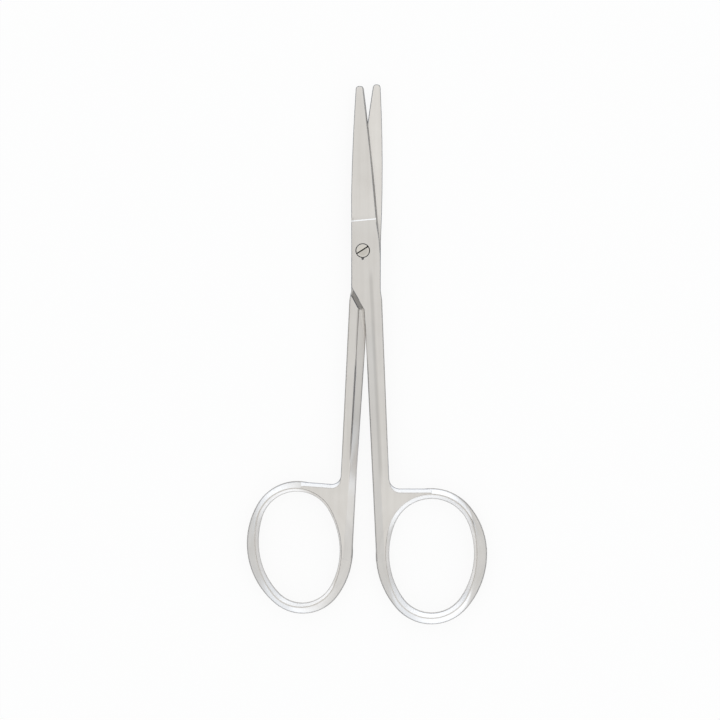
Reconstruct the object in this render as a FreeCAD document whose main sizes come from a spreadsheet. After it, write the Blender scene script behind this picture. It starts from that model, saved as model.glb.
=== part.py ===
import FreeCAD, Part

import os

import Sketcher

# Iris scissors, slightly open, lying flat with the blades pointing to +Y.
# Two forged halves cross at a slotted pivot screw. Each half is one piece: blade, joint plate, shank and
# finger ring. Both are drawn in the same way, in a frame of their own: the flat mating face is z = 0, the
# outer face looks up, the pivot is the origin, the blade points to +Y and the ring lies on the +X side.
# The front half lies that way in the scissors, and the back half is turned half a turn about the long axis.
# All lengths are in millimetres and all angles in degrees.

shared_sizes = [
    ("joint_thickness", 1.75, "one half at the joint, from mating face to outer face"),
    ("mating_gap", 0.04, "running gap between the two mating faces"),
    ("blade_step_y", 6.32, "where the blade face steps down, above the pivot"),
    ("blade_step_depth", 0.2, "depth of that step"),
    ("blade_step_run", 0.26, "length of the step's slope along the blade"),
    ("blade_step_turn", 5.3, "turn of the step line against the crosswise direction"),
    ("blade_tip_thickness", 0.85, "blade thickness at its tip"),
    ("tip_rounding", 0.7, "corner radius of the blunt tip"),
    ("edge_land", 0.08, "upright land left under the cutting bevel"),
    ("edge_bevel_width", 0.34, "width of the cutting bevel at the joint's thickness"),
    ("edge_bevel_start", 1.5, "the bevel runs out this far below the pivot"),
    ("edge_bevel_full", 6.0, "the bevel has its full width from here on, above the pivot"),
    ("plate_corner_y", 7.8, "lower corner of the joint plate, below the pivot"),
    ("plate_corner_rounding", 1.2, "its corner radius"),
    ("crotch_y", 12.5, "where the slanted plate edge meets the shank's inner edge"),
    ("shoulder_outer_y", 9.5, "stop shoulder at the shank's outer edge, below the pivot"),
    ("shoulder_inner_y", 12.3, "stop shoulder at the shank's ridge, below the pivot"),
    ("shoulder_ramp", 0.7, "length of the short ramp from the mating face up to the inner facet"),
    ("step_start_y", 8.5, "start of the small outward step of the shank's outer edge"),
    ("step_end_y", 10.5, "end of that step"),
    ("thin_edge_y", 18.0, "here the outer face has fallen most towards the inner edge"),
    ("passing_y", 32.0, "down to here the closed shanks overlap most"),
    ("parting_y", 41.0, "below here the closed shanks lie side by side"),
    ("shank_end_y", 46.0, "end of the ridged shank, where the web begins"),
    ("web_y", 52.0, "middle of the web, below the pivot"),
    ("web_foot_y", 66.0, "where the web has faded into the ring's inner side bar"),
    ("facet_start_y", 2.0, "the roof shape of the outer face begins here, below the pivot"),
    ("ridge_drop", 0.05, "at the crotch the shank's ridge lies this far below the joint's face"),
    ("facet_drop", 0.28, "fall of the outer face from the ridge to both edges there"),
    ("thin_edge_height", 0.9, "height of the outer face at the inner edge where it is thinnest"),
    ("web_inner_drop", 0.55, "fall of the inner edge where the web begins"),
    ("fade_out", 0.02, "a facet that fades out ends this far clear of the metal"),
    ("raised_height", 1.2, "the shank's outer part stands this far past the mating face at the shoulder"),
    ("raised_drop", 0.2, "its fall from the ridge to the outer edge"),
    ("ledge_height_start", 0.14, "the inner facet's upper edge past the mating face at the shoulder"),
    ("ledge_height_passing", 0.45, "the same where the overlap ends"),
    ("ledge_height_parting", 1.1, "the same where the shanks part"),
    ("ledge_wall_run", 0.18, "slant of the small wall between the outer part and the inner facet"),
    ("edge_lift_passing", 0.15, "the inner edge stays this far clear of the mating plane at the crotch"),
    ("edge_lift_parting", 0.03, "the same where the shanks part"),
    ("web_bevel", 0.85, "width of the bevel along the web's upper edge"),
    ("web_bevel_depth", 0.8, "depth of this bevel"),
    ("web_bevel_run_out", 2.0, "the bevel runs this far past the web on the ring's top"),
    ("ring_half_height", 1.55, "from mid plane to the flats of web and ring"),
    ("ring_edge_half_height", 0.75, "half the height of the ring's side walls"),
    ("ridge_land", 0.12, "width of the polished line between the ring's two facets"),
    ("rim_width", 0.12, "the edges of ring and shank are broken by a steep rim this wide"),
    ("rim_height", 0.25, "height of this rim"),
    ("screw_radius", 0.9, "body of the pivot screw"),
    ("bore_clearance", 0.04, "radial running clearance of the front half on the screw"),
    ("thread_bite", 0.01, "the screw's thread bites this far into the back half"),
    ("head_radius", 1.46, "head of the pivot screw"),
    ("head_clearance", 0.08, "radial clearance round the head"),
    ("head_height", 0.85, "height of the head"),
    ("head_recess", 0.04, "the head lies this far below the outer face"),
    ("head_seat_gap", 0.03, "running gap under the head"),
    ("head_bevel", 0.14, "bevel round the head's top"),
    ("screw_tip_recess", 0.05, "the screw's end lies this far inside the back half's outer face"),
    ("slot_width", 0.27, "screwdriver slot"),
    ("slot_offset", 0.14, "the slot lies this far off the head's middle"),
    ("slot_floor", 0.08, "its width at the bottom"),
    ("slot_depth", 0.4, "depth of the slot"),
    ("slot_turn", 32.5, "turn of the slot against the crosswise direction"),
    ("punch_radius", 0.3, "punch mark at the rim of the head's recess"),
    ("punch_offset", 0.16, "its middle lies this far outside the rim"),
    ("punch_depth", 0.4, "its depth"),
]

half_sizes = {
    "front": [
        ("tip_y", 34.95, "end of the blade above the pivot"),
        ("tip_spine_x", -1.42, "blunt side of the tip"),
        ("tip_edge_x", 0.16, "cutting side of the tip"),
        ("spine_end_x", -2.44, "spine where the blade's curve ends"),
        ("spine_end_y", 12.0, "the same, above the pivot"),
        ("spine_radius", 500.0, "curve of the spine"),
        ("edge_radius", 680.0, "curve of the cutting edge"),
        ("plate_side_y", 1.5, "end of the cutting edge, below the pivot"),
        ("plate_free_x", -2.38, "joint plate's free side"),
        ("plate_own_x", 3.8, "joint plate's side over its own shank"),
        ("crotch_x", 0.38, "shank's inner edge at the crotch"),
        ("step_x", 4.12, "shank's outer edge below the step"),
        ("bend_x", 1.95, "shank's inner edge at the web"),
        ("foot_x", 2.9, "inner edge at the web's foot"),
        ("armpit_x", 5.68, "corner between shank and ring"),
        ("armpit_y", -50.55, "the same, below the pivot"),
        ("armpit_rounding", 2.3, "its radius"),
        ("brow_x", 14.57, "end of the web's upper edge, on the ring's top"),
        ("brow_y", -50.55, "the same, below the pivot"),
        ("ring_x", 14.65, "middle of the finger hole"),
        ("ring_y", -64.35, "the same, below the pivot"),
        ("ring_tilt", 0.0, "turn of the ring"),
        ("hole_half_width", 9.03, "half the hole's width"),
        ("hole_top", 11.68, "hole's reach towards the blades"),
        ("hole_bottom", 12.52, "hole's reach away from the blades"),
        ("hole_top_round", 8.4, "end radius towards the blades"),
        ("hole_bottom_round", 7.45, "end radius away from the blades"),
        ("bar_far", 2.74, "width of the ring's bar on its far side"),
        ("bar_near", 2.84, "its width on the side of the shank"),
        ("bar_top", 2.23, "its width towards the blades"),
        ("bar_bottom", 2.47, "its width away from the blades"),
        ("ridge_far", 0.65, "from the hole to the ridge on the far side"),
        ("ridge_near", 0.85, "the same on the side of the shank"),
        ("ridge_top", 1.0, "the same towards the blades"),
        ("ridge_bottom", 1.15, "the same away from the blades"),
    ],
    "back": [
        ("tip_y", 35.35, "end of the blade above the pivot"),
        ("tip_spine_x", -3.74, "blunt side of the tip"),
        ("tip_edge_x", -2.27, "cutting side of the tip"),
        ("spine_end_x", -3.84, "spine where the blade's curve ends"),
        ("spine_end_y", 1.9, "the same, above the pivot"),
        ("spine_radius", 330.0, "curve of the spine"),
        ("edge_radius", 680.0, "curve of the cutting edge"),
        ("plate_side_y", 1.5, "end of the cutting edge, below the pivot"),
        ("plate_free_x", -3.8, "joint plate's free side"),
        ("plate_own_x", 2.42, "joint plate's side over its own shank"),
        ("crotch_x", -1.05, "shank's inner edge at the crotch"),
        ("step_x", 2.83, "shank's outer edge below the step"),
        ("bend_x", 1.19, "shank's inner edge at the web"),
        ("foot_x", 2.26, "inner edge at the web's foot"),
        ("armpit_x", 4.74, "corner between shank and ring"),
        ("armpit_y", -49.72, "the same, below the pivot"),
        ("armpit_rounding", 1.9, "its radius"),
        ("brow_x", 13.09, "end of the web's upper edge, on the ring's top"),
        ("brow_y", -49.08, "the same, below the pivot"),
        ("ring_x", 13.47, "middle of the finger hole"),
        ("ring_y", -62.83, "the same, below the pivot"),
        ("ring_tilt", -7.1, "turn of the ring"),
        ("hole_half_width", 8.56, "half the hole's width"),
        ("hole_top", 11.74, "hole's reach towards the blades"),
        ("hole_bottom", 11.98, "hole's reach away from the blades"),
        ("hole_top_round", 7.69, "end radius towards the blades"),
        ("hole_bottom_round", 6.85, "end radius away from the blades"),
        ("bar_far", 2.54, "width of the ring's bar on its far side"),
        ("bar_near", 2.8, "its width on the side of the shank"),
        ("bar_top", 2.18, "its width towards the blades"),
        ("bar_bottom", 2.31, "its width away from the blades"),
        ("ridge_far", 0.85, "from the hole to the ridge on the far side"),
        ("ridge_near", 0.35, "the same on the side of the shank"),
        ("ridge_top", 0.75, "the same towards the blades"),
        ("ridge_bottom", 0.9, "the same away from the blades"),
    ],
}

# Cutting tools reach this far past the metal.
reach = 3.0

doc = FreeCAD.newDocument("iris_scissors")
sheet = doc.addObject("Spreadsheet::Sheet", "sizes")


class Length:
    """A size as a number together with the sheet formula that gives it."""

    def __init__(self, number, formula=None):
        self.number = float(number)
        self.formula = formula or repr(float(number))

    def __neg__(self):
        return Length(-self.number, f"-({self.formula})")

    def __add__(self, other):
        other = as_length(other)
        return Length(self.number + other.number, f"({self.formula} + {other.formula})")

    def __sub__(self, other):
        other = as_length(other)
        return Length(self.number - other.number, f"({self.formula} - ({other.formula}))")

    def __mul__(self, other):
        other = as_length(other)
        return Length(self.number * other.number, f"({self.formula}) * ({other.formula})")

    def __truediv__(self, other):
        other = as_length(other)
        return Length(self.number / other.number, f"({self.formula}) / ({other.formula})")


def as_length(value):
    return value if isinstance(value, Length) else Length(value)


def root(value):
    return Length(value.number ** 0.5, f"sqrt({value.formula})")


def line_at(start, end, y):
    """The x at height y on the straight line from start to end, each an (x, y) pair."""
    slope = (end[0] - start[0]) / (end[1] - start[1])
    return start[0] + slope * (as_length(y) - start[1])


def fill_sheet():
    rows = list(shared_sizes)
    for half, sizes in half_sizes.items():
        rows += [(f"{half}_{alias}", value, note) for alias, value, note in sizes]
    known = {}
    for row, (alias, value, note) in enumerate(rows, start=1):
        sheet.set(f"A{row}", alias)
        sheet.set(f"B{row}", str(value))
        sheet.setAlias(f"B{row}", alias)
        sheet.set(f"C{row}", note)
        known[alias] = Length(value, f"<<sizes>>.{alias}")
    doc.recompute()
    return known


size = fill_sheet()


def new_body(name):
    body = doc.addObject("PartDesign::Body", name)
    body.Label = name
    return body


def new_sketch(body, name, role, offset=(0, 0, 0), turn_axis=None, turn=0):
    """A sketch on one of the body's origin planes, moved and turned within that plane's own frame."""
    sketch = body.newObject("Sketcher::SketchObject", name)
    plane = next(feature for feature in body.Origin.OriginFeatures if feature.Role == role)
    sketch.AttachmentSupport = [(plane, "")]
    sketch.MapMode = "FlatFace"
    turn = as_length(turn)
    rotation = FreeCAD.Rotation()
    if turn_axis:
        rotation = FreeCAD.Rotation(FreeCAD.Vector(*turn_axis), turn.number or 1.0)
    offset = [as_length(part) for part in offset]
    base = FreeCAD.Vector(*[part.number for part in offset])
    sketch.AttachmentOffset = FreeCAD.Placement(base, rotation)
    for part, letter in zip(offset, "xyz"):
        if "sizes" in part.formula:
            sketch.setExpression(f".AttachmentOffset.Base.{letter}", part.formula)
    if turn_axis:
        sketch.setExpression(".AttachmentOffset.Rotation.Angle", turn.formula)
    return sketch


def pin_point(sketch, shape, end, x, y):
    """Hold one end of a line or arc at x, y, both tied to the sheet."""
    for kind, value in (("DistanceX", x), ("DistanceY", y)):
        value = as_length(value)
        index = sketch.addConstraint(Sketcher.Constraint(kind, shape, end, value.number))
        if "sizes" in value.formula:
            sketch.setExpression(f"Constraints[{index}]", value.formula)


def arc_between(start, end, radius):
    """A shallow arc from start to end that bulges to the right of the way from start to end."""
    middle = (start + end) / 2
    along = end - start
    half = along.Length / 2
    sagitta = radius - (radius * radius - half * half) ** 0.5
    aside = FreeCAD.Vector(along.y, -along.x, 0).normalize()
    return Part.Arc(start, middle + aside * sagitta, end)


def draw_outline(sketch, corners):
    """A closed outline. Each corner is x, y and, where the side to the next one is curved, its radius."""
    points = [FreeCAD.Vector(as_length(c[0]).number, as_length(c[1]).number, 0) for c in corners]
    count = len(corners)
    for index, corner in enumerate(corners):
        start, end = points[index], points[(index + 1) % count]
        if len(corner) == 3:
            shape = sketch.addGeometry(arc_between(start, end, corner[2].number), False)
        else:
            shape = sketch.addGeometry(Part.LineSegment(start, end), False)
    for index, corner in enumerate(corners):
        following = (index + 1) % count
        # An arc is stored counter-clockwise, so its first point is the one that the arc runs from.
        start_end = first_end(sketch, index, points[index])
        next_start = first_end(sketch, following, points[following])
        sketch.addConstraint(
            Sketcher.Constraint("Coincident", index, 3 - start_end, following, next_start)
        )
    for index, corner in enumerate(corners):
        pin_point(sketch, index, first_end(sketch, index, points[index]), corner[0], corner[1])
        if len(corner) == 3:
            constraint = Sketcher.Constraint("Radius", index, corner[2].number)
            sketch.setExpression(f"Constraints[{sketch.addConstraint(constraint)}]", corner[2].formula)


def first_end(sketch, shape, point):
    """1 if the geometry's own start lies at the point, else 2."""
    geometry = sketch.Geometry[shape]
    return 1 if geometry.StartPoint.distanceToPoint(point) < 1e-6 else 2


def draw_egg(sketch, shift, half_width, top, bottom, top_round, bottom_round):
    """An egg of six tangent arcs: an end arc at the top and bottom and four side arcs between them.

    The side arcs meet on the sketch's x axis, where the egg is widest, so their centres lie on it. The radius
    of a side arc follows from its tangency with the end arc.
    """
    def side_radius(end, round_end):
        rise = end - round_end
        excess = half_width * half_width + rise * rise - round_end * round_end
        return excess / ((half_width - round_end) * 2)

    def add_arc(centre_x, centre_y, radius, start, end):
        circle = Part.Circle(
            FreeCAD.Vector(centre_x.number, centre_y.number, 0), FreeCAD.Vector(0, 0, 1), radius.number
        )
        return sketch.addGeometry(Part.ArcOfCircle(circle, start, end), False)

    shift = as_length(shift)
    zero = Length(0)
    turn = 3.141592653589793
    arcs = []
    for sign, end, round_end in ((1, top, top_round), (-1, bottom, bottom_round)):
        rise = end - round_end
        radius = side_radius(end, round_end)
        reach_in = radius - half_width
        meet = direction_angle(reach_in.number, rise.number)
        end_centre = rise if sign > 0 else -rise
        if sign > 0:
            arcs.append((shift - reach_in, zero, radius, 0, meet))
            arcs.append((shift, end_centre, round_end, meet, turn - meet))
            arcs.append((shift + reach_in, zero, radius, turn - meet, turn))
        else:
            arcs.append((shift + reach_in, zero, radius, turn, turn + meet))
            arcs.append((shift, end_centre, round_end, turn + meet, 2 * turn - meet))
            arcs.append((shift - reach_in, zero, radius, 2 * turn - meet, 2 * turn))
    shapes = [add_arc(*arc) for arc in arcs]
    for index, shape in enumerate(shapes):
        following = shapes[(index + 1) % len(shapes)]
        kind = "Tangent" if index % 3 != 2 else "Coincident"
        sketch.addConstraint(Sketcher.Constraint(kind, shape, 2, following, 1))
    for index, far_x in ((0, shift + half_width), (3, shift - half_width)):
        pin_point(sketch, shapes[index], 1, far_x, zero)
    for index in (0, 2, 3, 5):
        sketch.addConstraint(Sketcher.Constraint("DistanceY", shapes[index], 3, 0.0))
    for index, round_end in ((1, top_round), (4, bottom_round)):
        pin_point(sketch, shapes[index], 3, shift, arcs[index][1])
        constraint = Sketcher.Constraint("Radius", shapes[index], round_end.number)
        sketch.setExpression(f"Constraints[{sketch.addConstraint(constraint)}]", round_end.formula)


def direction_angle(along, up):
    """The angle of the direction (along, up) above the x axis, in radians."""
    return FreeCAD.Vector(along, up, 0).getAngle(FreeCAD.Vector(1, 0, 0))


def bind(feature, name, value):
    value = as_length(value)
    setattr(feature, name, value.number)
    feature.setExpression(name, value.formula)


def pad(body, sketch, name, length, both_ways=False):
    feature = body.newObject("PartDesign::Pad", name)
    feature.Profile = sketch
    bind(feature, "Length", length)
    if both_ways:
        feature.SideType = "Symmetric"
    doc.recompute()
    return feature


def pocket(body, sketch, name, length, both_ways=False, reverse=False):
    """Cut a sketch into the body and make sure that the cut takes something away."""
    before = body.Shape.Volume
    feature = body.newObject("PartDesign::Pocket", name)
    feature.Profile = sketch
    bind(feature, "Length", length)
    if both_ways:
        feature.SideType = "Symmetric"
    feature.Reversed = reverse
    doc.recompute()
    if body.Shape.Volume >= before:
        raise RuntimeError(f"{name} cuts nothing")
    return feature


def loft(body, sketches, name, kind):
    feature = body.newObject(f"PartDesign::{kind}Loft", name)
    feature.Profile = sketches[0]
    feature.Sections = sketches[1:]
    feature.Ruled = True
    doc.recompute()
    return feature


def grind(body, name, stations):
    """Grind away a long strip: a loft between closed sections that stand across the scissors.

    Each station is a height y and the section's (x, z) points there.
    """
    sketches = []
    for index, (y, points) in enumerate(stations):
        sketch = new_sketch(body, f"{name}_{index + 1}", "XZ_Plane", (0, 0, -as_length(y)))
        draw_outline(sketch, points)
        sketches.append(sketch)
    doc.recompute()
    before = body.Shape.Volume
    feature = loft(body, sketches, name, "Subtractive")
    if body.Shape.Volume >= before:
        raise RuntimeError(f"{name} cuts nothing")
    return feature


def round_upright_edges(body, name, places, radius):
    """Round the upright edges of the body that stand at the given places."""
    names = []
    for index, edge in enumerate(body.Shape.Edges, start=1):
        ends = [vertex.Point for vertex in edge.Vertexes]
        if len(ends) != 2 or abs(ends[0].x - ends[1].x) + abs(ends[0].y - ends[1].y) > 1e-6:
            continue
        for x, y in places:
            if abs(ends[0].x - as_length(x).number) + abs(ends[0].y - as_length(y).number) < 1e-4:
                names.append(f"Edge{index}")
    if len(names) != len(places):
        raise RuntimeError(f"{name} finds {len(names)} of {len(places)} edges")
    base = body.Tip
    feature = body.newObject("PartDesign::Fillet", name)
    feature.Base = (base, names)
    bind(feature, "Radius", radius)
    doc.recompute()
    body.Tip = feature
    return feature


def make_half(half):
    """One forged half, from blade tip to finger ring, with its hole for the screw."""
    own = {alias: size[f"{half}_{alias}"] for alias, value, note in half_sizes[half]}
    body = new_body(f"{half}_half")
    top = size["joint_thickness"]
    flat = size["ring_half_height"]

    add_ring(body, half, own)
    add_forging(body, half, own, top, flat)
    level_web(body, half, own, top, flat)
    cut_mating_face(body, half, own, flat)
    grind_outer_face(body, half, own, top, flat)
    grind_inner_face(body, half, own, flat)
    cut_blade(body, half, own, top)
    bevel_web(body, half, own, flat)
    cut_finger_hole(body, half, own, flat)
    return body, own


def ring_sketch(body, half, own, name, z, shift, half_width, top, bottom, more_round):
    place = (own["ring_x"], own["ring_y"], z)
    sketch = new_sketch(body, f"{half}_{name}", "XY_Plane", place, (0, 0, 1), own["ring_tilt"])
    rounds = (own["hole_top_round"] + more_round[0], own["hole_bottom_round"] + more_round[1])
    draw_egg(sketch, shift, half_width, top, bottom, *rounds)
    return sketch


def outer_egg(body, half, own, name, z, widen):
    """The ring's outline: the finger hole widened by the bar, and by a little more or less."""
    width = own["hole_half_width"] + (own["bar_far"] + own["bar_near"]) / 2 + widen
    shift = (own["bar_far"] - own["bar_near"]) / 2
    top = own["hole_top"] + own["bar_top"] + widen
    bottom = own["hole_bottom"] + own["bar_bottom"] + widen
    more = (own["bar_top"] + widen, own["bar_bottom"] + widen)
    return ring_sketch(body, half, own, name, z, shift, width, top, bottom, more)


def ridge_egg(body, half, own, name, z, widen):
    """The line where the ring's two facets meet, widened or narrowed by half the land."""
    width = own["hole_half_width"] + (own["ridge_far"] + own["ridge_near"]) / 2 + widen
    shift = (own["ridge_far"] - own["ridge_near"]) / 2
    top = own["hole_top"] + own["ridge_top"] + widen
    bottom = own["hole_bottom"] + own["ridge_bottom"] + widen
    more = (own["ridge_top"] + widen, own["ridge_bottom"] + widen)
    return ring_sketch(body, half, own, name, z, shift, width, top, bottom, more)


def hole_egg(body, half, own, name, z, widen):
    """The finger hole's outline, widened by a little."""
    width = own["hole_half_width"] + widen
    ends = (own["hole_top"] + widen, own["hole_bottom"] + widen)
    return ring_sketch(body, half, own, name, z, Length(0), width, *ends, (widen, widen))


def add_ring(body, half, own):
    """A flat egg with a steep rim and a sloping outer facet on each side. The hole is cut later."""
    zero = Length(0)
    edge = size["ring_edge_half_height"]
    wall = edge - size["rim_height"]
    flat = size["ring_half_height"]
    half_land = size["ridge_land"] / 2
    pad(body, outer_egg(body, half, own, "ring_wall", -wall, zero), f"{half}_ring_band", wall * 2)
    for face, sign in (("upper", 1), ("lower", -1)):
        heights = [height if sign > 0 else -height for height in (wall, edge, flat)]
        sketches = [
            outer_egg(body, half, own, f"ring_{face}_wall", heights[0], zero),
            outer_egg(body, half, own, f"ring_{face}_rim", heights[1], -size["rim_width"]),
            ridge_egg(body, half, own, f"ring_{face}_ridge", heights[2], half_land),
        ]
        doc.recompute()
        loft(body, sketches, f"{half}_ring_{face}_facet", "Additive")


def add_forging(body, half, own, top, flat):
    """Blade, joint plate, shank and web as one slab with the outline seen from above.

    The outline runs counter-clockwise, so its two curved sides, the cutting edge and the spine, bulge
    outwards.
    """
    sketch = new_sketch(body, f"{half}_outline", "XY_Plane", (0, 0, -flat))
    draw_outline(sketch, [
        (own["spine_end_x"], own["spine_end_y"]),
        (own["plate_free_x"], -size["plate_corner_y"]),
        (own["crotch_x"], -size["crotch_y"]),
        (own["bend_x"], -size["shank_end_y"]),
        (own["foot_x"], -size["web_foot_y"]),
        (own["ring_x"], own["ring_y"]),
        (own["brow_x"], own["brow_y"]),
        (own["armpit_x"], own["armpit_y"]),
        (own["step_x"], -size["step_end_y"]),
        (own["plate_own_x"], -size["step_start_y"]),
        (own["plate_own_x"], -own["plate_side_y"], own["edge_radius"]),
        (own["tip_edge_x"], own["tip_y"]),
        (own["tip_spine_x"], own["tip_y"], own["spine_radius"]),
    ])
    pad(body, sketch, f"{half}_forging", flat + top)
    tips = [(own["tip_spine_x"], own["tip_y"]), (own["tip_edge_x"], own["tip_y"])]
    round_upright_edges(body, f"{half}_tip_rounding", tips, size["tip_rounding"])
    plate = [(own["plate_free_x"], -size["plate_corner_y"])]
    round_upright_edges(body, f"{half}_plate_rounding", plate, size["plate_corner_rounding"])
    armpit = [(own["armpit_x"], own["armpit_y"])]
    round_upright_edges(body, f"{half}_armpit_rounding", armpit, own["armpit_rounding"])


def level_web(body, half, own, top, flat):
    """Lower the outer face evenly from the joint's thickness to the thickness of web and ring."""
    level = new_sketch(body, f"{half}_side_view", "YZ_Plane")
    start = -size["plate_corner_y"]
    end = -size["shank_end_y"]
    low = own["ring_y"] * 2
    draw_outline(level, [
        (start, top),
        (end, flat),
        (low, flat),
        (low, top + reach),
        (start, top + reach),
    ])
    ring_side = own["ring_x"] + own["hole_half_width"] + own["bar_far"]
    pocket(body, level, f"{half}_level_web", (ring_side + reach) * 2, both_ways=True)


def cut_mating_face(body, half, own, flat):
    """Mill the joint flat down to the mating plane, up to the slanted stop shoulder."""
    sketch = new_sketch(body, f"{half}_lap", "XY_Plane")
    corner_y = -size["shoulder_inner_y"]
    corner_x = shank_middle(own, corner_y)
    outer_y = -size["shoulder_outer_y"]
    slope = (outer_y - corner_y) / (own["plate_own_x"] - corner_x)
    far_x = own["plate_own_x"] + reach
    far_y = own["tip_y"] + reach
    draw_outline(sketch, [
        (-far_x * 2, corner_y),
        (corner_x, corner_y),
        (far_x, outer_y + slope * reach),
        (far_x, far_y),
        (-far_x * 2, far_y),
    ])
    pocket(body, sketch, f"{half}_mating_face", flat + reach)


def shank_sides(own):
    """The shank's inner and outer edge lines and the web's inner edge, each as two (x, y) points."""
    inner = ((own["crotch_x"], -size["crotch_y"]), (own["bend_x"], -size["shank_end_y"]))
    outer = ((own["step_x"], -size["step_end_y"]), (own["armpit_x"], own["armpit_y"]))
    web_inner = ((own["bend_x"], -size["shank_end_y"]), (own["foot_x"], -size["web_foot_y"]))
    return inner, outer, web_inner


def shank_middle(own, y):
    inner, outer, web_inner = shank_sides(own)
    return (line_at(*inner, y) + line_at(*outer, y)) / 2


def shank_station(own, y):
    """The x of inner edge, ridge and outer edge at height y.

    Beside the web the ridge runs straight on to the ridge of the finger ring.
    """
    inner, outer, web_inner = shank_sides(own)
    end = -size["shank_end_y"]
    if as_length(y).number >= end.number:
        return line_at(*inner, y), shank_middle(own, y), line_at(*outer, y)
    ring_ridge = own["ring_x"] - own["hole_half_width"] - own["ridge_near"]
    ridge_line = ((shank_middle(own, end), end), (ring_ridge, -size["web_foot_y"]))
    return line_at(*web_inner, y), line_at(*ridge_line, y), line_at(*outer, y)


def grind_outer_face(body, half, own, top, flat):
    """Give the shank's outer face its low roof shape and the web its sloping inner edge.

    A steep rim breaks the edges. It starts at the crotch, fades out on the outer side before the web, and
    runs on into the ring's rim on the inner side.
    """
    none = Length(0)
    rim, rim_width = size["rim_height"], size["rim_width"]
    edge = size["ring_edge_half_height"]
    above = top + reach

    def section(y, inner_z, ridge_z, outer_z, inner_rim, outer_rim):
        inner_x, ridge_x, outer_x = shank_station(own, y)
        return (y, [
            (inner_x - reach, inner_z - inner_rim),
            (inner_x, inner_z - inner_rim),
            (inner_x + rim_width, inner_z),
            (ridge_x, ridge_z),
            (outer_x - rim_width, outer_z),
            (outer_x, outer_z - outer_rim),
            (outer_x + reach, outer_z - outer_rim),
            (outer_x + reach, above),
            (inner_x - reach, above),
        ])

    clear_of_joint = top + size["fade_out"]
    clear_of_web = flat + size["fade_out"]
    ridge = top - size["ridge_drop"]
    low = ridge - size["facet_drop"]
    thin = size["thin_edge_height"]
    inner = flat - size["web_inner_drop"]
    parting_share = (size["parting_y"] - size["crotch_y"]) / (size["shank_end_y"] - size["crotch_y"])
    thin_share = (size["thin_edge_y"] - size["crotch_y"]) / (size["shank_end_y"] - size["crotch_y"])

    def along(start, end, share):
        return start + (end - start) * share

    grind(body, f"{half}_outer_face", [
        section(-size["facet_start_y"], clear_of_joint, clear_of_joint, clear_of_joint, none, none),
        section(-size["crotch_y"], low, ridge, low, none, rim),
        section(
            -size["thin_edge_y"], thin,
            along(ridge, clear_of_web, thin_share), along(low, clear_of_web, thin_share), rim, rim,
        ),
        section(
            -size["parting_y"], inner,
            along(ridge, clear_of_web, parting_share), along(low, clear_of_web, parting_share), rim, rim,
        ),
        section(-size["shank_end_y"], inner, clear_of_web, clear_of_web, rim, none),
        section(-size["web_y"], edge, clear_of_web, clear_of_web, rim, none),
        section(-size["web_foot_y"], edge, clear_of_web, clear_of_web, rim, none),
    ])


def grind_inner_face(body, half, own, flat):
    """Shape the shank on the mating side.

    Its outer part stays high behind the stop shoulder. A small wall leads down to the inner facet, which
    falls to the inner edge. Down to where the shanks part, this edge stays clear of the mating plane, so
    that the shanks can pass over each other when the scissors close.
    """
    none = Length(0)
    rim, rim_width = size["rim_height"], size["rim_width"]
    edge = size["ring_edge_half_height"]
    clear_of_web = flat + size["fade_out"]
    below = -flat - reach

    def high_part(y, height, drop, outer_rim):
        inner_x, ridge_x, outer_x = shank_station(own, y)
        return (y, [
            (inner_x - reach, -height),
            (ridge_x, -height),
            (outer_x - rim_width, drop - height),
            (outer_x, drop - height + outer_rim),
            (outer_x + reach, drop - height + outer_rim),
            (outer_x + reach, below),
            (inner_x - reach, below),
        ])

    parting_share = (size["parting_y"] - size["step_start_y"]) / (size["shank_end_y"] - size["step_start_y"])
    raised, fall = size["raised_height"], size["raised_drop"]
    grind(body, f"{half}_raised_part", [
        high_part(-size["step_start_y"], raised, fall, rim),
        high_part(
            -size["parting_y"], raised + (clear_of_web - raised) * parting_share,
            fall - fall * parting_share, rim,
        ),
        high_part(-size["shank_end_y"], clear_of_web, none, none),
    ])

    def ledge(y, height, lift, inner_rim):
        """The inner facet: height of its upper edge past the mating face, lift of its lower edge off it."""
        inner_x, ridge_x, outer_x = shank_station(own, y)
        return (y, [
            (inner_x - reach, lift + inner_rim),
            (inner_x, lift + inner_rim),
            (inner_x + rim_width, lift),
            (ridge_x - size["ledge_wall_run"], -height),
            (ridge_x, -clear_of_web),
            (ridge_x, below),
            (inner_x - reach, below),
        ])

    shoulder = -size["shoulder_inner_y"]
    passing_lift, low_rim = size["edge_lift_passing"], rim / 2
    web_lift = size["web_inner_drop"] - edge
    grind(body, f"{half}_inner_facet", [
        ledge(shoulder, size["fade_out"], passing_lift, low_rim),
        ledge(shoulder - size["shoulder_ramp"], size["ledge_height_start"], passing_lift, low_rim),
        ledge(-size["passing_y"], size["ledge_height_passing"], passing_lift, low_rim),
        ledge(-size["parting_y"], size["ledge_height_parting"], size["edge_lift_parting"], low_rim),
        ledge(-size["shank_end_y"], clear_of_web, web_lift / 2, rim),
        ledge(-size["web_y"], clear_of_web, -edge, rim),
        ledge(-size["web_foot_y"], clear_of_web, -edge, rim),
    ])


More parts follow.
